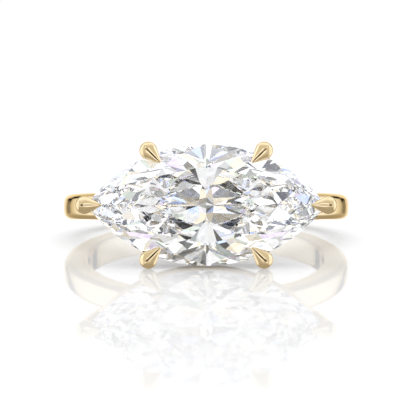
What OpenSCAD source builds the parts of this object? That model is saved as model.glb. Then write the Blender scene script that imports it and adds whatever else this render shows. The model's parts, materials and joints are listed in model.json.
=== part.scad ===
// Solitaire ring with a marquise stone set across the finger, lying on its side.
// Everything is drawn upright first: the finger axis along Y, the length of the stone
// along X and the head up. lie_down() then lays the ring on two side claws and the band.

/* [Band] */
// Diameter of the finger hole
finger_d = 16.5; // [15.5:0.1:19]
// Thickness of the band, from the finger hole to its outer face
band_t = 1.7; // [1.4:0.05:2]
// Width of the band along the finger
band_w = 1.8; // [1.5:0.05:2.2]
// Radius of the shallow dome across the outer face of the band
band_dome_r = 3; // [2:0.1:8]
// Rounding of the two outer edges of the band
band_edge_r = 0.44; // [0.3:0.02:0.6]
// Rounding of the two edges of the finger hole
bore_edge_r = 0.15; // [0.05:0.01:0.25]

/* [Stone] */
// Length of the stone from point to point
stone_l = 15.8; // [15:0.1:16.4]
// Width of the stone
stone_w = 8; // [7.6:0.1:8.4]
// Length of the table as a share of the length of the stone
table_l_share = 0.6; // [0.54:0.01:0.62]
// Width of the table as a share of the width of the stone
table_w_share = 0.64; // [0.58:0.01:0.66]
// Height of the crown above the girdle
crown_h = 1.1; // [1:0.05:1.3]
// Thickness of the girdle where its facets meet
girdle_t = 0.2; // [0.16:0.01:0.3]
// Depth of the pavilion below the girdle
pavilion_h = 3.18; // [3:0.02:3.6]

/* [Setting] */
// Gap between the band and the culet of the stone
culet_gap = 0.57; // [0.25:0.01:1]
// Diameter of the rounded end of each claw
claw_d = 1.18; // [1:0.02:1.3]
// Diameter of the bar under each side claw
side_bar_d = 1.04; // [0.9:0.02:1.16]
// Diameter of the bar under each tip claw
tip_bar_d = 1.12; // [1:0.02:1.16]
// Distance of the side claws from the middle of the stone, along its length
side_claw_x = 3.82; // [3.5:0.02:4.2]
// How far the side claws stand outside the outline of the stone
side_stand_off = 0.35; // [0.3:0.01:0.4]
// How far the tip claws stand beyond the points of the stone
tip_stand_off = 0.15; // [0.1:0.01:0.25]
// Diameter of the gallery rail
rail_d = 0.42; // [0.36:0.02:0.6]
// Depth of the gallery rail below the girdle
rail_drop = 2; // [1.7:0.05:2.2]
// How far the gallery rail runs inside the outline of the stone
rail_inset = 0.36; // [0.3:0.02:0.4]
// Gap between the stone and the seats cut for it in the claws
seat_gap = 0.03; // [0.02:0.01:0.05]

/* [Hidden] */
$fn = 96;
gold = [0.93, 0.78, 0.5];
clear_white = [0.9, 0.94, 0.98, 0.6];

// Band
bore_r = finger_d / 2;
outer_r = bore_r + band_t;
dome_centre = outer_r - band_dome_r;
edge_y = band_w / 2 - band_edge_r;
edge_x = dome_centre + sqrt(pow(band_dome_r - band_edge_r, 2) - edge_y * edge_y);

// Place beyond the face of the band, on the line from the dome's centre through the centre
// of a rounded edge. The two curves meet smoothly on that line.
flare = 1.5;
function dome_flare(side) = [dome_centre, 0] + flare * [edge_x - dome_centre, side * edge_y];

// Outline of the stone: two equal arcs that meet in a point at each end
half_l = stone_l / 2;
half_w = stone_w / 2;
outline_r = (half_l * half_l + half_w * half_w) / (2 * half_w);
outline_drop = outline_r - half_w;
outline_sweep = asin(half_l / outline_r);

// Facets of the stone. Main facet 0 of the crown is at the point on +X, and its eight mains
// follow counter-clockwise: both points, both middles of the sides and four diagonals. The
// pavilion has mains at the four diagonals only, which meet in an edge on each axis.
mains = 8;
diagonal_share = 0.5;
table_fullness = 1.014;
quarter = mains / 4;
crown_junction_share = 0.57;
point_junction_share = 0.225;
side_junction_share = 0.19;
culet_z = -girdle_t - pavilion_h;
girdle_h = outer_r + culet_gap - culet_z;

// Share of the outline's sweep at a place t, which is 0 mid-side, 1 at a diagonal and
// 2 at a point of the stone
function sweep_share(t) =
    sign(t) * (abs(t) < 1 ? abs(t) * diagonal_share
               : diagonal_share + (abs(t) - 1) * (1 - diagonal_share));

// Rim of the stone at a place u, which is i where main i meets it
function rim_side(u) = u <= mains / 2 ? 1 : -1;
function rim_angle(u) =
    outline_sweep * sweep_share(u <= mains / 2 ? quarter - u : u - 3 * quarter);
function rim(u) =
    [outline_r * sin(rim_angle(u)),
     rim_side(u) * (outline_r * cos(rim_angle(u)) - outline_drop)];

// Direction that main i faces, seen from above, and its distance from the middle at the rim
function facing(i) =
    i % (mains / 2) == 0 ? [i == 0 ? 1 : -1, 0]
    : [sin(rim_angle(i)), rim_side(i) * cos(rim_angle(i))];
function rim_reach(i) = facing(i) * rim(i);

// Corner i of the table. The diagonal corners stand out by table_fullness.
function table_corner(i) =
    let (turn = 360 * i / mains)
    (i % quarter == 0 ? 1 : table_fullness)
    * [half_l * table_l_share * cos(turn), half_w * table_w_share * sin(turn)];

// Where the lines that face n1 and n2, at distances d1 and d2 from the middle, cross
function crossing(n1, d1, n2, d2) =
    [d1 * n2.y - d2 * n1.y, n1.x * d2 - n2.x * d1] / (n1.x * n2.y - n1.y * n2.x);

// Distance of crown main i from the middle, at a share of the crown's height
function crown_reach(i, share) =
    rim_reach(i) - (rim_reach(i) - facing(i) * table_corner(i)) * share;

// Junction of crown mains i and i + 1
function after(i) = (i + 1) % mains;
function crown_junction(i) =
    let (p = crossing(facing(i), crown_reach(i, crown_junction_share),
                      facing(after(i)), crown_reach(after(i), crown_junction_share)))
    [p.x, p.y, crown_h * crown_junction_share];

// Junction q of the pavilion's mains, on axis q: +X, +Y, -X and -Y. Axis nearest(i) is the
// one beside the half facets from main i on.
junctions = 4;
function nearest(i) = floor((i + 1) / 2) % junctions;
function pavilion_junction(q) =
    let (share = q % 2 == 0 ? point_junction_share : side_junction_share,
         before = (2 * q + mains - 1) % mains,
         next = 2 * q + 1,
         p = crossing(facing(before), rim_reach(before) * share,
                      facing(next), rim_reach(next) * share))
    [p.x, p.y, culet_z + pavilion_h * share];

// Height at a place p of the plane through the points a, b and c
function plane_z(p, a, b, c) =
    let (n = cross(b - a, c - a))
    a.z - (n.x * (p.x - a.x) + n.y * (p.y - a.y)) / n.z;

// Point k of the rim's edge from main i on, in the plane of the half facet beside it,
// which runs from the edge at height z up or down to a junction
half_steps = 5;
main_steps = 2 * half_steps;
function edge_point(i, k, z, junction) =
    let (start = i + floor(k / half_steps) / 2,
         p = rim(i + k / main_steps),
         a = rim(start),
         b = rim(start + 0.5))
    [p.x, p.y, k % half_steps == 0 ? z
     : plane_z(p, [a.x, a.y, z], [b.x, b.y, z], junction)];

stone_points = concat(
    [[0, 0, culet_z]],
    [for (i = [0 : mains - 1]) [table_corner(i).x, table_corner(i).y, crown_h]],
    [for (i = [0 : mains - 1]) crown_junction(i)],
    [for (q = [0 : junctions - 1]) pavilion_junction(q)],
    [for (i = [0 : mains - 1], k = [0 : main_steps - 1])
        edge_point(i, k, 0, crown_junction(i))],
    [for (i = [0 : mains - 1], k = [0 : main_steps - 1])
        edge_point(i, k, -girdle_t, pavilion_junction(nearest(i)))]
);

// Places in stone_points
culet = 0;
function at_table(i) = 1 + i % mains;
function at_crown(i) = 1 + mains + i % mains;
function at_pavilion(q) = 1 + 2 * mains + q % junctions;
edge_count = mains * main_steps;
function at_upper(m) = 1 + 2 * mains + junctions + m % edge_count;
function at_lower(m) = at_upper(m) + edge_count;

stone_faces = concat(
    [[for (i = [mains - 1 : -1 : 0]) at_table(i)]],
    [for (i = [0 : mains - 1]) [at_table(i), at_table(i + 1), at_crown(i)]],
    [for (i = [0 : mains - 1])
        [at_table(i), at_crown(i), at_upper(i * main_steps), at_crown(i + mains - 1)]],
    [for (i = [0 : mains - 1], start = [0, half_steps])
        [at_crown(i), for (k = [start + half_steps : -1 : start]) at_upper(i * main_steps + k)]],
    [for (m = [0 : edge_count - 1]) [at_upper(m), at_upper(m + 1), at_lower(m + 1), at_lower(m)]],
    [for (i = [0 : mains - 1], start = [0, half_steps])
        [at_pavilion(nearest(i)),
         for (k = [start : start + half_steps]) at_lower(i * main_steps + k)]],
    [for (q = [0 : junctions - 1])
        [culet, at_pavilion(q), at_lower((2 * q + 1) * main_steps), at_pavilion(q + 1)]]
);

// Claws. Each is a bent bar from a foot inside the band to a rounded end, and from there
// a taper to a small round point on the crown, whose way is its reach.
claw_r = claw_d / 2;
claw_point_r = 0.09;
claw_h = girdle_h + 0.16;
foot_r = bore_r + 0.53 * band_t;
side_angle = asin(side_claw_x / (outline_r + side_stand_off));
side_claw_y = (outline_r + side_stand_off) * cos(side_angle) - outline_drop;
side_foot_angle = 18.6;
side_foot = [foot_r * sin(side_foot_angle), 0.3, foot_r * cos(side_foot_angle)];
side_end = [side_claw_x, side_claw_y, claw_h];
side_reach = [-0.8, -0.8, 0.44];
side_bend = 12;
tip_foot_angle = 30.8;
tip_foot = [foot_r * sin(tip_foot_angle), 0, foot_r * cos(tip_foot_angle)];
tip_end = [half_l + tip_stand_off, 0, claw_h];
tip_reach = [-1.08, 0, 0.24];
tip_bend = 16;
seat_scale = 1 + seat_gap / half_w;

// The ring rests on the rounded ends of two side claws and on the outer edge of the band
rest_rise = side_end.y - edge_y;
rest_run = side_end.z + edge_x;
rest_tilt = atan2(rest_rise, rest_run)
    + asin((claw_r - band_edge_r) / norm([rest_rise, rest_run]));
rest_lift = edge_y * cos(rest_tilt) + edge_x * sin(rest_tilt) + band_edge_r;

// The origin is under the middle of the ring, between the edges of the table and the band
table_front = (girdle_h + crown_h) * cos(rest_tilt) + half_w * table_w_share * sin(rest_tilt);
band_back = edge_x * cos(rest_tilt) + edge_y * sin(rest_tilt) + band_edge_r;
centre_shift = (table_front - band_back) / 2;

// Section of the band, with the finger axis along Y and the bore at x = bore_r
module band_section() {
    translate([edge_x, edge_y]) circle(band_edge_r);
    translate([edge_x, -edge_y]) circle(band_edge_r);
    translate([bore_r + bore_edge_r, -band_w / 2]) square([edge_x - bore_r - bore_edge_r, band_w]);
    translate([bore_r, bore_edge_r - band_w / 2]) square([band_t / 2, band_w - 2 * bore_edge_r]);
    for (side = [-1, 1])
        translate([bore_r + bore_edge_r, side * (band_w / 2 - bore_edge_r)]) circle(bore_edge_r);
    intersection() {
        translate([dome_centre, 0]) circle(band_dome_r);
        polygon([
            [edge_x, -edge_y], dome_flare(-1), dome_flare(1), [edge_x, edge_y]
        ]);
    }
}

module band() {
    rotate([90, 0, 0]) rotate_extrude() band_section();
}

// Rail that follows the outline of the stone, as two arcs that meet in the tip claws
module gallery_rail() {
    for (side = [0, 180])
        rotate([0, 0, side])
            translate([0, -outline_drop, girdle_h - rail_drop])
                rotate([0, 0, 90 - outline_sweep])
                    rotate_extrude(angle = 2 * outline_sweep)
                        translate([outline_r - rail_inset, 0]) circle(d = rail_d);
}

// Round bar from foot to end that bulges outwards and turns by 2 * bend on its way
module bent_bar(foot, end, bend, d) {
    way = end - foot;
    run = norm([way.x, way.y]);
    lean = atan2(run, way.z);
    arc_r = norm([run, way.z]) / (2 * sin(bend));
    translate(foot) rotate([0, 0, atan2(way.y, way.x)]) rotate([90, 0, 0])
        translate([-arc_r * cos(lean + bend), arc_r * sin(lean + bend)])
            rotate([0, 0, -lean - bend])
                rotate_extrude(angle = 2 * bend) translate([arc_r, 0]) circle(d = d);
}

// Rounded end of a claw and its taper to a small round point at the end of reach
module claw_end(reach) {
    length = norm(reach);
    flank = asin((claw_r - claw_point_r) / length);
    rotate([0, acos(reach.z / length), atan2(reach.y, reach.x)])
        rotate_extrude() intersection() {
            translate([0, -claw_r]) square([claw_r, length + claw_r + claw_point_r]);
            union() {
                circle(claw_r);
                translate([0, length]) circle(claw_point_r);
                polygon([
                    [0, 0],
                    claw_r * [cos(flank), sin(flank)],
                    claw_point_r * [cos(flank), sin(flank)] + [0, length],
                    [0, length]
                ]);
            }
        }
}

module side_claw() {
    bent_bar(side_foot, side_end, side_bend, side_bar_d);
    translate(side_end) claw_end(side_reach);
}

module tip_claw() {
    bent_bar(tip_foot, tip_end, tip_bend, tip_bar_d);
    translate(tip_end) claw_end(tip_reach);
}

module claws() {
    for (mx = [0, 1]) mirror([mx, 0, 0]) {
        tip_claw();
        for (my = [0, 1]) mirror([0, my, 0]) side_claw();
    }
}

module cut_stone() {
    polyhedron(stone_points, stone_faces, convexity = 2);
}

// Lays an upright part on the floor plane with its head towards -Y
module lie_down() {
    translate([0, centre_shift, rest_lift]) rotate([90 - rest_tilt, 0, 0]) children();
}

module ring_mount() {
    color(gold) lie_down() {
        band();
        difference() {
            union() {
                claws();
                gallery_rail();
            }
            translate([0, 0, girdle_h]) scale(seat_scale) cut_stone();
        }
    }
}

module stone() {
    color(clear_white) lie_down() translate([0, 0, girdle_h]) cut_stone();
}

ring_mount();
stone();
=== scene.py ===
"""A solitaire ring of polished yellow gold that lies on its side and faces the camera."""

import json
import math

import bpy
import numpy as np
from mathutils import Matrix, Vector


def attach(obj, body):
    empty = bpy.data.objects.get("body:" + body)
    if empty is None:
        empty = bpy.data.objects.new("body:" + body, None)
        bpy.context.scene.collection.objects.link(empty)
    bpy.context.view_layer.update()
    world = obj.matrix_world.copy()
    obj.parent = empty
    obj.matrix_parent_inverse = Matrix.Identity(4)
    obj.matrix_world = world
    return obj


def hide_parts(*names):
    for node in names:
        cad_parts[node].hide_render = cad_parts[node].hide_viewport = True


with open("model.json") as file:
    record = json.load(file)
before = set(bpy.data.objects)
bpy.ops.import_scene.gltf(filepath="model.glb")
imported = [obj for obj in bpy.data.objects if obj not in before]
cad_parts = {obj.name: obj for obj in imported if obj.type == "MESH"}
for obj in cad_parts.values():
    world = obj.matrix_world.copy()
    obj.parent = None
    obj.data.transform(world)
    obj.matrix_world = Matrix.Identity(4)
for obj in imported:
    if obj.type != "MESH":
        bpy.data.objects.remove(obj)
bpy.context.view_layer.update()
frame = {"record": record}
MM = 0.001

# The ring's own axes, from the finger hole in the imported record: X along the stone,
# Y along the finger and Z from the finger hole to the head.
hole = frame["record"]["mounts"][0]
hole_centre = Vector(hole["pos_m"])
finger_axis = Vector(hole["axis"]).normalized()
stone_axis = Vector((1, 0, 0))
head_axis = stone_axis.cross(finger_axis)
upright = Matrix((stone_axis, finger_axis, head_axis)).transposed().to_4x4()
ring_matrix = Matrix.Translation(hole_centre) @ upright

# Stone, in millimetres, and the height of its girdle above the middle of the finger hole
STONE_L, STONE_W = 15.8, 8.0
CROWN_H, GIRDLE_T, PAVILION_H = 1.1, 0.2, 3.18
GIRDLE_H = 13.9
TABLE_L_SHARE, TABLE_W_SHARE = 0.6, 0.64

# Facets: main facets of the crown, corners of the pavilion's mains, and straight steps
# that each half facet takes along the rim
MAINS, JUNCTIONS, HALF_STEPS = 8, 4, 5
# Share of the rim's sweep where the diagonal mains stand, and how far the table's
# diagonal corners stand out from an ellipse
DIAGONAL_SHARE, TABLE_FULLNESS = 0.5, 1.014
# Share of the crown's height where its mains meet, and shares of the pavilion's height
# where its half facets end, towards the stone's points and its sides
CROWN_SHARE, POINT_SHARE, SIDE_SHARE = 0.57, 0.225, 0.19

# The outline is two equal arcs that meet in the stone's points
HALF_L, HALF_W = STONE_L / 2, STONE_W / 2
OUTLINE_R = (HALF_L**2 + HALF_W**2) / (2 * HALF_W)
OUTLINE_DROP = OUTLINE_R - HALF_W
SWEEP = math.asin(HALF_L / OUTLINE_R)
CULET_Z = -GIRDLE_T - PAVILION_H

# Band, in millimetres
FINGER_D, BAND_T, BAND_W = 16.5, 1.7, 1.8
DOME_R, EDGE_R, BORE_EDGE_R = 3.0, 0.44, 0.15
BORE_R = FINGER_D / 2
OUTER_R = BORE_R + BAND_T

# Claws and gallery rail, in millimetres and degrees. The feet of the claws stand at a
# share of the band's thickness.
CLAW_R, CLAW_POINT_R, CLAW_RISE = 0.59, 0.09, 0.16
SIDE_BAR_R, TIP_BAR_R, BAR_STOP = 0.52, 0.56, 0.2
FOOT_SHARE = 0.53
FOOT_R = BORE_R + FOOT_SHARE * BAND_T
SIDE_CLAW_X, SIDE_STAND_OFF, TIP_STAND_OFF = 3.82, 0.35, 0.15
SIDE_FOOT_ANGLE, SIDE_FOOT_Y, SIDE_BEND, SIDE_REACH = 18.6, 0.3, 12, (-0.8, -0.8, 0.44)
TIP_FOOT_ANGLE, TIP_FOOT_Y, TIP_BEND, TIP_REACH = 30.8, 0, 16, (-1.08, 0, 0.24)
RAIL_R, RAIL_DROP, RAIL_INSET = 0.21, 2.0, 0.36
SEAT_GAP = 0.03

# Ridge along each claw: slope of its two faces, rounding of the ridge and of its rim, and
# how far it lies below the round claw at the ball and at the point
RIDGE_SLOPE, RIDGE_ROUND, RIM_ROUND = 0.36, 0.11, 0.12
RIDGE_DROP, RIDGE_POINT_DROP = 0.13, 0.012

# Width of the soft joins between a bar and its claw, the claws and the band, and the rail
NECK_FILLET, SOLDER_FILLET, RAIL_FILLET = 0.1, 0.25, 0.12

# Skin of the mount: step of its grid, and room for the bulge of the tip claws' bars
SKIN_STEP, BULGE_ROOM = 0.09, 1
SHARP_ANGLE = math.radians(35)


def rim_side(u):
    return 1 if u <= 4 else -1


def rim_angle(u):
    """Angle on the outline's arc of rim place u. Places 0 and 4 are the stone's points,
    2 and 6 the middles of its sides."""
    place = 2 - u if u <= 4 else u - 6
    turns = abs(place)
    if turns < 1:
        share = turns * DIAGONAL_SHARE
    else:
        share = DIAGONAL_SHARE + (turns - 1) * (1 - DIAGONAL_SHARE)
    return SWEEP * math.copysign(share, place)


def rim(u):
    a = rim_angle(u)
    y = OUTLINE_R * math.cos(a) - OUTLINE_DROP
    return np.array([OUTLINE_R * math.sin(a), rim_side(u) * y])


def facing(i):
    """Way that main facet i faces, seen from above."""
    if i % 4 == 0:
        return np.array([1.0 if i == 0 else -1.0, 0.0])
    a = rim_angle(i)
    return np.array([math.sin(a), rim_side(i) * math.cos(a)])


def table_corner(i):
    turn = 2 * math.pi * i / MAINS
    full = 1 if i % 2 == 0 else TABLE_FULLNESS
    return full * np.array([HALF_L * TABLE_L_SHARE * math.cos(turn),
                            HALF_W * TABLE_W_SHARE * math.sin(turn)])


def crossing(i, distance_i, j, distance_j):
    """Point that lies at given distances along the ways that mains i and j face."""
    return np.linalg.solve(np.array([facing(i), facing(j)]), np.array([distance_i, distance_j]))


def crown_junction(i):
    """Point of the crown where mains i and i + 1 meet."""
    def distance(k):
        at_rim = facing(k) @ rim(k)
        return at_rim - (at_rim - facing(k) @ table_corner(k)) * CROWN_SHARE

    j = (i + 1) % MAINS
    return np.array([*crossing(i, distance(i), j, distance(j)), CROWN_H * CROWN_SHARE])


def pavilion_junction(q):
    """Point of the pavilion where two of its four mains meet the half facets."""
    i, j = (2 * q - 1) % MAINS, 2 * q + 1
    share = POINT_SHARE if q % 2 == 0 else SIDE_SHARE
    point = crossing(i, facing(i) @ rim(i) * share, j, facing(j) @ rim(j) * share)
    return np.array([*point, CULET_Z + PAVILION_H * share])


def nearest_junction(i):
    return (i + 1) // 2 % JUNCTIONS


def girdle_point(i, k, z, junction):
    """Point k of the girdle's edge from main i on, in the plane of its half facet."""
    p = rim(i + k / (2 * HALF_STEPS))
    if k % HALF_STEPS == 0:
        return np.array([*p, z])
    start = i + (k // HALF_STEPS) / 2
    a = np.array([*rim(start), z])
    b = np.array([*rim(start + 0.5), z])
    n = np.cross(b - a, junction - a)
    return np.array([*p, z - (n[0] * (p[0] - a[0]) + n[1] * (p[1] - a[1])) / n[2]])


def stone_points():
    """Culet, table corners, crown and pavilion junctions, then both edges of the girdle."""
    steps = range(2 * HALF_STEPS)
    points = [np.array([0, 0, CULET_Z])]
    points += [np.array([*table_corner(i), CROWN_H]) for i in range(MAINS)]
    points += [crown_junction(i) for i in range(MAINS)]
    points += [pavilion_junction(q) for q in range(JUNCTIONS)]
    points += [girdle_point(i, k, 0, crown_junction(i)) for i in range(MAINS) for k in steps]
    points += [girdle_point(i, k, -GIRDLE_T, pavilion_junction(nearest_junction(i)))
               for i in range(MAINS) for k in steps]
    return points


def stone_faces():
    """Facets of the marquise brilliant, as numbers of its points."""
    steps = 2 * HALF_STEPS
    edge = MAINS * steps

    def table(i):
        return 1 + i % MAINS

    def crown(i):
        return 1 + MAINS + i % MAINS

    def pavilion(q):
        return 1 + 2 * MAINS + q % JUNCTIONS

    def upper(m):
        return 1 + 2 * MAINS + JUNCTIONS + m % edge

    def lower(m):
        return upper(m) + edge

    faces = [[table(i) for i in range(MAINS)]]
    for i in range(MAINS):
        faces.append([crown(i), table(i + 1), table(i)])
        faces.append([crown(i - 1), upper(i * steps), crown(i), table(i)])
        for start in (0, HALF_STEPS):
            row = [i * steps + start + k for k in range(HALF_STEPS + 1)]
            faces.append([crown(i)] + [upper(m) for m in row])
            faces.append([pavilion(nearest_junction(i))] + [lower(m) for m in reversed(row)])
    for q in range(JUNCTIONS):
        faces.append([pavilion(q + 1), lower((2 * q + 1) * steps), pavilion(q), 0])
    faces += [[lower(m), lower(m + 1), upper(m + 1), upper(m)] for m in range(edge)]
    return faces


def rounded_overlap(a, b, radius):
    """Signed distance to what two forms share, with the edge between them rounded."""
    return (np.minimum(np.maximum(a, b), -radius)
            + np.hypot(np.maximum(a + radius, 0), np.maximum(b + radius, 0)))


def smooth_join(a, b, size):
    """Signed distance to two forms together, with a fillet between them."""
    near = np.maximum(size - np.abs(a - b), 0) / size
    return np.minimum(a, b) - near * near * size / 4


def band(x, y, z):
    r = np.hypot(x, z)
    dome = np.hypot(r - (OUTER_R - DOME_R), y) - DOME_R
    outside = rounded_overlap(np.abs(y) - BAND_W / 2, dome, EDGE_R)
    return rounded_overlap(outside, BORE_R - r, BORE_EDGE_R)


def rail(x, y, z):
    ring = np.hypot(x, np.abs(y) + OUTLINE_DROP) - (OUTLINE_R - RAIL_INSET)
    return np.hypot(ring, z - (GIRDLE_H - RAIL_DROP)) - RAIL_R


def bar(x, y, z, foot, end, bend, radius):
    """Round bar that bulges outwards on its way from foot to just below end."""
    way = end - foot
    run = math.hypot(way[0], way[1])
    lean, turn = math.atan2(run, way[2]), math.radians(bend)
    arc_r = math.hypot(run, way[2]) / (2 * math.sin(turn))
    u = ((x - foot[0]) * way[0] + (y - foot[1]) * way[1]) / run
    v = ((y - foot[1]) * way[0] - (x - foot[0]) * way[1]) / run
    u = u + arc_r * math.cos(lean + turn)
    w = z - foot[2] - arc_r * math.sin(lean + turn)
    angle = np.clip(np.arctan2(w, u), -lean - turn, turn - lean - BAR_STOP / arc_r)
    return np.sqrt((u - arc_r * np.cos(angle))**2 + (w - arc_r * np.sin(angle))**2 + v**2) - radius


def part_along(p, way):
    return p[0] * way[0] + p[1] * way[1] + p[2] * way[2]


def taper(along, off, length, narrowing):
    """Ball that tapers to a small round point, by the distance along and off its axis."""
    a = math.sqrt(1 - narrowing**2)
    k = along * a - off * narrowing
    ball = np.hypot(off, along) - CLAW_R
    point = np.hypot(off, along - length) - CLAW_POINT_R
    flank = off * a + along * narrowing - CLAW_R
    return np.where(k < 0, ball, np.where(k > a * length, point, flank))


def claw_end(x, y, z, end, reach):
    """Tapered ball at the end of a claw, with the soft ridge where two nearly flat faces
    meet along its front."""
    length = np.linalg.norm(reach)
    way = reach / length
    narrowing = (CLAW_R - CLAW_POINT_R) / length
    p = (x - end[0], y - end[1], z - end[2])
    along = part_along(p, way)
    off = np.sqrt(np.maximum(p[0]**2 + p[1]**2 + p[2]**2 - along**2, 0))

    across = np.cross(way, (0, 0, 1))
    across /= np.linalg.norm(across)
    up = np.cross(across, way)
    tilt = math.asin(narrowing) - math.atan((RIDGE_DROP - RIDGE_POINT_DROP) / length)
    height = part_along(p, up * math.cos(tilt) + way * math.sin(tilt))
    fall = RIDGE_SLOPE * (np.hypot(part_along(p, across), RIDGE_ROUND) - RIDGE_ROUND)
    faces = (height + fall - (CLAW_R - RIDGE_DROP)) / math.hypot(1, RIDGE_SLOPE)
    return rounded_overlap(taper(along, off, length, narrowing), faces, RIM_ROUND)


def claw_foot(angle, y):
    """Place in the band's wall, at an angle from the head."""
    a = math.radians(angle)
    return np.array([FOOT_R * math.sin(a), y, FOOT_R * math.cos(a)])


def metal(x, y, z):
    """Signed distance to the soldered mount, in its upright frame: finger axis along Y,
    stone along X and head up."""
    claw_h = GIRDLE_H + CLAW_RISE
    side_claw_y = math.sqrt((OUTLINE_R + SIDE_STAND_OFF)**2 - SIDE_CLAW_X**2) - OUTLINE_DROP
    side_end = np.array([SIDE_CLAW_X, side_claw_y, claw_h])
    tip_end = np.array([HALF_L + TIP_STAND_OFF, 0, claw_h])
    side_foot = claw_foot(SIDE_FOOT_ANGLE, SIDE_FOOT_Y)
    tip_foot = claw_foot(TIP_FOOT_ANGLE, TIP_FOOT_Y)
    # The claws are mirrored: one quarter holds a side claw and half a tip claw
    x, y = np.abs(x), np.abs(y)
    bars = np.minimum(bar(x, y, z, side_foot, side_end, SIDE_BEND, SIDE_BAR_R),
                      bar(x, y, z, tip_foot, tip_end, TIP_BEND, TIP_BAR_R))
    ends = np.minimum(claw_end(x, y, z, side_end, np.array(SIDE_REACH)),
                      claw_end(x, y, z, tip_end, np.array(TIP_REACH)))
    claws = smooth_join(bars, ends, NECK_FILLET)
    soldered = smooth_join(band(x, y, z), claws, SOLDER_FILLET)
    return smooth_join(soldered, rail(x, y, z), RAIL_FILLET)


def moved(places, axis, steps):
    """Grid places some steps further along an axis."""
    places = places.copy()
    places[:, axis] += steps
    return places


def crossed_edges(inside, axis):
    """Grid places whose edge along an axis crosses the surface."""
    ahead = np.moveaxis(inside, axis, 0)
    order = [1, 2]
    order.insert(axis, 0)
    return np.argwhere(ahead[1:] != ahead[:-1])[:, order]


def cells_around(places, axis):
    """The four grid cells around each edge along an axis, in turn."""
    one, other = [k for k in range(3) if k != axis]
    return [tuple(moved(moved(places, one, -i), other, -j).T)
            for i, j in ((0, 0), (1, 0), (1, 1), (0, 1))]


def skin(distance, low, high, step):
    """Points and quads of the surface where distance is 0, by surface nets: a point for
    each grid cell that the surface passes, and a quad around each edge that it crosses."""
    axes = [np.arange(a, b + step, step, dtype=np.float32) for a, b in zip(low, high)]
    values = np.stack([distance(*np.meshgrid(x, axes[1], axes[2], indexing="ij"))[0]
                       for x in np.split(axes[0], len(axes[0]))])
    inside = values < 0
    cells = [n - 1 for n in values.shape]
    total = np.zeros(cells + [3], dtype=np.float32)
    count = np.zeros(cells, dtype=np.int8)
    for axis in range(3):
        places = crossed_edges(inside, axis)
        here, there = values[tuple(places.T)], values[tuple(moved(places, axis, 1).T)]
        point = places.astype(np.float32)
        point[:, axis] += here / (here - there)
        for cell in cells_around(places, axis):
            np.add.at(total, cell, point)
            np.add.at(count, cell, 1)
    used = count > 0
    points = total[used] / count[used][:, None] * step + np.array(low)

    number = np.full(count.shape, -1)
    number[used] = np.arange(used.sum())
    quads = []
    for axis in range(3):
        places = crossed_edges(inside, axis)
        quad = np.stack([number[cell] for cell in cells_around(places, axis)], 1)
        leaves = inside[tuple(places.T)]
        backwards = leaves if axis == 1 else ~leaves
        quad[backwards] = quad[backwards][:, ::-1]
        quads.append(quad)
    return points.astype(float), np.concatenate(quads)


def smooth_onto(distance, points, rounds=4, probe=0.001, least=0.25):
    """Moves points onto the surface where distance is 0. The least square of a slope keeps
    their steps short where forms meet."""
    for _ in range(rounds):
        slope = []
        for k in range(3):
            ahead, behind = points.copy(), points.copy()
            ahead[:, k] += probe
            behind[:, k] -= probe
            slope.append((distance(*ahead.T) - distance(*behind.T)) / (2 * probe))
        slope = np.stack(slope, 1)
        size = np.maximum((slope**2).sum(1), least)
        points = points - slope * (distance(*points.T) / size)[:, None]
    return points


def mount_shape():
    reach = HALF_L + TIP_STAND_OFF + 2 * CLAW_R + BULGE_ROOM
    side = HALF_W + 2 * CLAW_R
    top = GIRDLE_H + 2 * CLAW_R
    points, quads = skin(metal, (-reach, -side, -reach), (reach, side, top), SKIN_STEP)
    return smooth_onto(metal, points), quads.tolist()


def add_mesh(name, points, faces, matrix):
    mesh = bpy.data.meshes.new(name)
    mesh.from_pydata([Vector(map(float, p)) * MM for p in points], [], faces)
    mesh.transform(matrix)
    mesh.update()
    piece = bpy.data.objects.new(name, mesh)
    bpy.context.scene.collection.objects.link(piece)
    return piece


# Cloudy patterns: how many spots go to the metre, how many finer layers they have, and
# the range that most of their values lie in
POLISH_CLOUD, RIPPLE_CLOUD, STONE_CLOUD, FLOOR_CLOUD = (900, 3), (1600, 2), (700, 4), (40, 3)
CLOUD_LOW, CLOUD_HIGH = 0.3, 0.7

# Waves that the gold's polish leaves, and ranges of roughness
RIPPLE_H, RIPPLE_STRENGTH = 0.03 * MM, 0.12
POLISH, GLOSSY_FLOOR, MATT_FLOOR = (0.05, 0.1), (0.025, 0.035), (0.85, 0.95)

# Gold as it is, as the stone shows it and the floor gets it, and at its edges
GOLD, PALE_GOLD, GOLD_EDGE = (0.88, 0.69, 0.4), (0.72, 0.7, 0.67), (0.82, 0.7, 0.5)
STONE_IOR, FLOOR_IOR = 2.417, 1.45
CLEAR, FAINT_BLUE = (1, 1, 1), (0.97, 0.98, 0.99)
FLOOR_WHITE, FLOOR_SHADE = (0.905, 0.905, 0.905), (0.895, 0.895, 0.895)

# Floor, in metres: its size, and distances from which it turns matt and where it is all
# matt. The share says how matt it is before that.
FLOOR_SIZE = 4
GLOSS_R, MATT_R, MATT_SHARE = 0.01, 0.16, 0.42


def shader(material):
    material.use_nodes = True
    return material.node_tree, material.node_tree.nodes["Principled BSDF"]


def noise(tree, scale, detail):
    """Cloudy pattern that is fixed to the object."""
    place = tree.nodes.new("ShaderNodeTexCoord")
    cloud = tree.nodes.new("ShaderNodeTexNoise")
    cloud.inputs["Scale"].default_value = scale
    cloud.inputs["Detail"].default_value = detail
    tree.links.new(place.outputs["Object"], cloud.inputs["Vector"])
    return cloud.outputs["Fac"]


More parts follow.
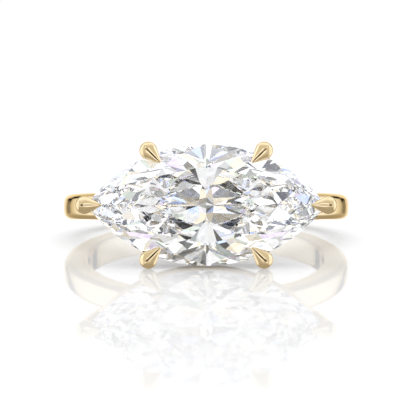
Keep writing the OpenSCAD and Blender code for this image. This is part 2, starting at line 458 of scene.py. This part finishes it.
def links_to_range(tree, cloud, entry, low, high):
    """Feeds an entry with a pattern that is spread from low to high."""
    spread = tree.nodes.new("ShaderNodeMapRange")
    spread.inputs["From Min"].default_value = CLOUD_LOW
    spread.inputs["From Max"].default_value = CLOUD_HIGH
    spread.inputs["To Min"].default_value = low
    spread.inputs["To Max"].default_value = high
    tree.links.new(cloud, spread.inputs["Value"])
    tree.links.new(spread.outputs["Result"], entry)


def colour_between(tree, surface, share, one, other):
    """Base colour that goes from one to the other with share."""
    mix = tree.nodes.new("ShaderNodeMix")
    mix.data_type = "RGBA"
    mix.inputs["A"].default_value = (*one, 1)
    mix.inputs["B"].default_value = (*other, 1)
    tree.links.new(share, mix.inputs[0])
    tree.links.new(mix.outputs["Result"], surface.inputs["Base Color"])


def ripples(tree, surface, cloud):
    """Faint waves that polishing leaves."""
    bump = tree.nodes.new("ShaderNodeBump")
    bump.inputs["Strength"].default_value = RIPPLE_STRENGTH
    bump.inputs["Distance"].default_value = RIPPLE_H
    tree.links.new(cloud, bump.inputs["Height"])
    tree.links.new(bump.outputs["Normal"], surface.inputs["Normal"])


def seen_by_others(tree):
    """1 for rays that come through the stone or from the matt floor, 0 for all others."""
    rays = tree.nodes.new("ShaderNodeLightPath")
    others = tree.nodes.new("ShaderNodeMath")
    others.operation = "MAXIMUM"
    tree.links.new(rays.outputs["Is Transmission Ray"], others.inputs[0])
    tree.links.new(rays.outputs["Is Diffuse Ray"], others.inputs[1])
    return others.outputs["Value"]


def gold_material():
    material = bpy.data.materials.new("polished_gold")
    tree, surface = shader(material)
    colour_between(tree, surface, seen_by_others(tree), GOLD, PALE_GOLD)
    surface.inputs["Specular Tint"].default_value = (*GOLD_EDGE, 1)
    surface.inputs["Metallic"].default_value = 1
    links_to_range(tree, noise(tree, *POLISH_CLOUD), surface.inputs["Roughness"], *POLISH)
    ripples(tree, surface, noise(tree, *RIPPLE_CLOUD))
    return material


def stone_material():
    material = bpy.data.materials.new("colourless_stone")
    tree, surface = shader(material)
    colour_between(tree, surface, noise(tree, *STONE_CLOUD), CLEAR, FAINT_BLUE)
    surface.inputs["Transmission Weight"].default_value = 1
    surface.inputs["Roughness"].default_value = 0
    surface.inputs["IOR"].default_value = STONE_IOR
    return material


def floor_material():
    """White floor that is glossy around the ring and turns matt away from it."""
    material = bpy.data.materials.new("white_floor")
    tree, glossy = shader(material)
    matt = tree.nodes.new("ShaderNodeBsdfPrincipled")
    cloud = noise(tree, *FLOOR_CLOUD)
    for surface, roughness in ((glossy, GLOSSY_FLOOR), (matt, MATT_FLOOR)):
        colour_between(tree, surface, cloud, FLOOR_WHITE, FLOOR_SHADE)
        links_to_range(tree, cloud, surface.inputs["Roughness"], *roughness)
    glossy.inputs["IOR"].default_value = FLOOR_IOR
    matt.inputs["Specular IOR Level"].default_value = 0

    place = tree.nodes.new("ShaderNodeNewGeometry")
    away = tree.nodes.new("ShaderNodeVectorMath")
    away.operation = "LENGTH"
    fade = tree.nodes.new("ShaderNodeMapRange")
    fade.interpolation_type = "SMOOTHSTEP"
    fade.inputs["From Min"].default_value = GLOSS_R
    fade.inputs["From Max"].default_value = MATT_R
    fade.inputs["To Min"].default_value = MATT_SHARE
    mix = tree.nodes.new("ShaderNodeMixShader")
    for one, other in ((place.outputs["Position"], away.inputs[0]),
                       (away.outputs["Value"], fade.inputs["Value"]),
                       (fade.outputs["Result"], mix.inputs["Fac"]),
                       (glossy.outputs["BSDF"], mix.inputs[1]),
                       (matt.outputs["BSDF"], mix.inputs[2]),
                       (mix.outputs["Shader"], tree.nodes["Material Output"].inputs["Surface"])):
        tree.links.new(one, other)
    return material


# Camera, from a fit to the ring and its reflection in the photograph: its height angle,
# its distance, nearest view and height of target in metres, and in the photo's pixels its
# focal length and the ring's middle
ELEVATION = math.radians(7.5)
DISTANCE, NEAREST, TARGET_H = 0.25, 0.01, 0.002132
FRAME_PX, FOCAL_PX, MIDDLE_PX = 416, 3578, 206.2
SENSOR_MM = 36


def add_camera():
    data = bpy.data.cameras.new("camera")
    data.sensor_width = SENSOR_MM
    data.lens = FOCAL_PX / FRAME_PX * SENSOR_MM
    data.shift_x = (FRAME_PX / 2 - MIDDLE_PX) / FRAME_PX
    data.clip_start = NEAREST
    camera = bpy.data.objects.new("camera", data)
    back = Vector((0, -math.cos(ELEVATION), math.sin(ELEVATION)))
    camera.location = Vector((0, hole_centre.y, TARGET_H)) + back * DISTANCE
    camera.rotation_euler = (-back).to_track_quat("-Z", "Y").to_euler()
    bpy.context.scene.collection.objects.link(camera)
    bpy.context.scene.camera = camera


class Studio:
    """Light around the scene: one look for each kind of ray, painted by direction."""

    def __init__(self):
        world = bpy.data.worlds.new("studio")
        world.use_nodes = True
        world.cycles.sampling_method = "NONE"
        self.nodes, self.links = world.node_tree.nodes, world.node_tree.links
        self.background = self.nodes["Background"]
        self.rays = self.node("ShaderNodeLightPath").outputs
        coordinates = self.node("ShaderNodeTexCoord")
        unit = self.node("ShaderNodeVectorMath", operation="NORMALIZE")
        self.links.new(coordinates.outputs["Generated"], unit.inputs[0])
        self.direction = unit.outputs[0]
        bpy.context.scene.world = world

    def node(self, kind, **settings):
        node = self.nodes.new(kind)
        for name, value in settings.items():
            setattr(node, name, value)
        return node

    def feed(self, value, entry):
        if isinstance(value, bpy.types.NodeSocket):
            self.links.new(value, entry)
        elif isinstance(value, tuple):
            entry.default_value = (*value, 1)
        else:
            entry.default_value = value

    def along(self, axis, low, high):
        """Mask that rises smoothly from 0 to 1 as the direction's part on axis goes
        from low to high."""
        dot = self.node("ShaderNodeVectorMath", operation="DOT_PRODUCT")
        self.links.new(self.direction, dot.inputs[0])
        dot.inputs[1].default_value = axis
        ramp = self.node("ShaderNodeMapRange", interpolation_type="SMOOTHSTEP")
        ramp.inputs["From Min"].default_value = low
        ramp.inputs["From Max"].default_value = high
        self.links.new(dot.outputs["Value"], ramp.inputs["Value"])
        return ramp.outputs["Result"]

    def patch(self, azimuth, elevation, inner, outer):
        """Mask of a round patch: 1 within inner degrees of its middle, 0 beyond outer.
        Azimuth 0 is the camera's side and positive turns to the right of the picture."""
        a, e = math.radians(azimuth), math.radians(elevation)
        middle = (math.cos(e) * math.sin(a), -math.cos(e) * math.cos(a), math.sin(e))
        return self.along(middle, math.cos(math.radians(outer)), math.cos(math.radians(inner)))

    def above(self, ray, limit):
        """Mask that is 1 where a value of the ray is greater than limit."""
        test = self.node("ShaderNodeMath", operation="GREATER_THAN")
        self.links.new(self.rays[ray], test.inputs[0])
        test.inputs[1].default_value = limit
        return test.outputs[0]

    def mix(self, mask, under, over, blend="MIX"):
        mix = self.node("ShaderNodeMix", data_type="RGBA", blend_type=blend)
        self.feed(mask, mix.inputs[0])
        self.feed(under, mix.inputs["A"])
        self.feed(over, mix.inputs["B"])
        return mix.outputs["Result"]

    def steps(self, value, stops):
        """Shade or tint that changes at once at each of the stops."""
        ramp = self.node("ShaderNodeValToRGB")
        ramp.color_ramp.interpolation = "CONSTANT"
        elements = ramp.color_ramp.elements
        elements.remove(elements[0])
        elements[0].position = 0
        for at, _ in stops[1:]:
            elements.new(at)
        for element, (_, colour) in zip(elements, stops):
            element.color = (*colour, 1)
        self.links.new(value, ramp.inputs[0])
        return ramp.outputs["Color"]

    def panes(self):
        """Patchwork of flat panes, each with one of the shades times one of the tints."""
        cells = self.node("ShaderNodeTexVoronoi")
        cells.inputs["Scale"].default_value = PANE_SCALE
        cells.inputs["Randomness"].default_value = 1
        self.links.new(self.direction, cells.inputs["Vector"])
        parts = self.node("ShaderNodeSeparateColor")
        self.links.new(cells.outputs["Color"], parts.inputs[0])
        shade = self.steps(parts.outputs["Red"], [(at, (grey,) * 3) for at, grey in SHADES])
        tint = self.steps(parts.outputs["Green"], TINTS)
        return self.mix(1.0, shade, tint, "MULTIPLY")


# Panes of the stone's studio: how fine they are, and from which random number on, between
# 0 and 1, a pane has each shade and tint. Their places come from Voronoi noise alone.
PANE_SCALE = 8
SHADES = ((0, 0.05), (0.15, 0.4), (0.3, 0.75), (0.45, 1.15), (0.75, 1.5))
TINTS = ((0, (1, 1, 1)), (0.5, (0.94, 0.97, 1.03)), (0.6, (1.15, 1.02, 0.8)),
         (0.8, (0.65, 0.78, 1.25)), (0.85, (0.98, 0.85, 1.1)), (0.92, (0.95, 1.05, 0.92)))

# Panels that the gold mirrors, cool ones so that its brightest places turn cream
SOFT_PANEL, LOW_PANEL, BACK_PANEL = (0.76, 0.75, 0.73), (0.47, 0.45, 0.42), (1.35, 1.35, 1.35)
CREAM_PANEL, WHITE_PANEL = (1.22, 1.27, 1.42), (1.5, 1.6, 1.9)
DIM_PANEL, BLACK_PANEL = (0.35, 0.35, 0.35), (0.02, 0.02, 0.02)
# Broad ones: the way they lie, and the part on it from which they start and are full
BROAD_PANELS = (
    ((0, 0, 1), 0.7, 0.96, CREAM_PANEL),
    ((0, 0, -1), 0.1, 0.6, LOW_PANEL),
    ((1, 0, 0), 0.6, 0.82, CREAM_PANEL),
    ((-1, 0, 0), 0.6, 0.82, CREAM_PANEL),
    ((0, 1, 0), 0.86, 0.97, BACK_PANEL),
)
# Round ones on both sides: azimuth, elevation, and the degrees where they fade and end
ROUND_PANELS = (
    (110, 55, 10, 20, WHITE_PANEL),
    (80, 32, 10, 18, WHITE_PANEL),
    (122, 0, 6, 12, CREAM_PANEL),
    (75, -20, 6, 14, CREAM_PANEL),
    (19, -10, 4, 9, WHITE_PANEL),
    (19, 26, 4, 9, WHITE_PANEL),
    (145, 14, 6, 9, BLACK_PANEL),
    (148, 1, 4, 8, BLACK_PANEL),
    (148, -8, 3, 8, DIM_PANEL),
    (17, 10, 3, 6, BLACK_PANEL),
)
# Behind the camera, which draws a line along the ridge of each side claw
RIDGE_PANEL = (0, 8.4, 9, 14)

# Tint of the gold that the floor mirrors, and light that reaches the floor through the
# stone, from the horizon and from above, and the white behind the ring
MIRRORED_TINT = (1.05, 1.15, 1.35)
THROUGH_STONE, HORIZON, TOP, BEHIND = (0.3,) * 3, (0.6,) * 3, (1.36,) * 3, (1.19,) * 3


def stone_look(studio):
    """What the stone shows of the studio. It gives the floor less, and so has a shadow."""
    return studio.mix(studio.above("Diffuse Depth", 0.5), studio.panes(), THROUGH_STONE)


def gold_look(studio):
    """What the gold mirrors of the studio. What the floor mirrors again is cooler, which
    keeps the mirrored gold pale."""
    colour = SOFT_PANEL
    for axis, start, full, panel in BROAD_PANELS:
        colour = studio.mix(studio.along(axis, start, full), colour, panel)
    for side in (-1, 1):
        for azimuth, elevation, inner, outer, panel in ROUND_PANELS:
            colour = studio.mix(studio.patch(side * azimuth, elevation, inner, outer), colour, panel)
    colour = studio.mix(studio.patch(*RIDGE_PANEL), colour, BLACK_PANEL)
    cooler = studio.mix(1.0, colour, MIRRORED_TINT, "MULTIPLY")
    return studio.mix(studio.above("Glossy Depth", 1.5), colour, cooler)


def add_world():
    studio = Studio()
    soft = studio.mix(studio.along((0, 0, 1), 0, 1), HORIZON, TOP)
    look = studio.mix(studio.rays["Is Camera Ray"], soft, BEHIND)
    look = studio.mix(studio.rays["Is Glossy Ray"], look, gold_look(studio))
    look = studio.mix(studio.rays["Is Transmission Ray"], look, stone_look(studio))
    studio.links.new(look, studio.background.inputs["Color"])


def add_stone(place):
    stone = add_mesh("marquise_stone", stone_points(), stone_faces(), place)
    stone.data.materials.append(stone_material())
    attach(stone, "root")
    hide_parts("stone")


def cut_seats(mount, stone_place):
    """Cuts the room for the stone out of the claws."""
    scale = 1 + SEAT_GAP / HALF_W
    points = [p * scale for p in stone_points()]
    seat = add_mesh("seat_cutter", points, stone_faces(), stone_place)
    cut = mount.modifiers.new("seat", "BOOLEAN")
    cut.object = seat
    cut.operation = "DIFFERENCE"
    cut.solver = "EXACT"
    shape = mount.evaluated_get(bpy.context.evaluated_depsgraph_get())
    mount.data = bpy.data.meshes.new_from_object(shape)
    mount.modifiers.clear()
    bpy.data.objects.remove(seat)


def add_mount(stone_place):
    mount = add_mesh("gold_mount", *mount_shape(), ring_matrix)
    mount.data.shade_smooth()
    cut_seats(mount, stone_place)
    mount.data.set_sharp_from_angle(angle=SHARP_ANGLE)
    mount.data.materials.clear()
    mount.data.materials.append(gold_material())
    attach(mount, "root")
    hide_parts("ring_mount")


def add_floor():
    """Floor for the camera alone: the stone and the gold show the studio in its place."""
    bpy.ops.mesh.primitive_plane_add(size=FLOOR_SIZE)
    floor = bpy.context.object
    floor.name = "floor"
    floor.data.materials.append(floor_material())
    floor.visible_transmission = False
    floor.visible_glossy = False


girdle_place = ring_matrix @ Matrix.Translation(Vector((0, 0, GIRDLE_H * MM)))
add_stone(girdle_place)
add_mount(girdle_place)
add_floor()
add_camera()
add_world()
scene = bpy.context.scene
scene.view_settings.view_transform = "Standard"
scene.cycles.max_bounces = 32
scene.cycles.glossy_bounces = 24
scene.cycles.transmission_bounces = 24
scene.cycles.use_denoising = True
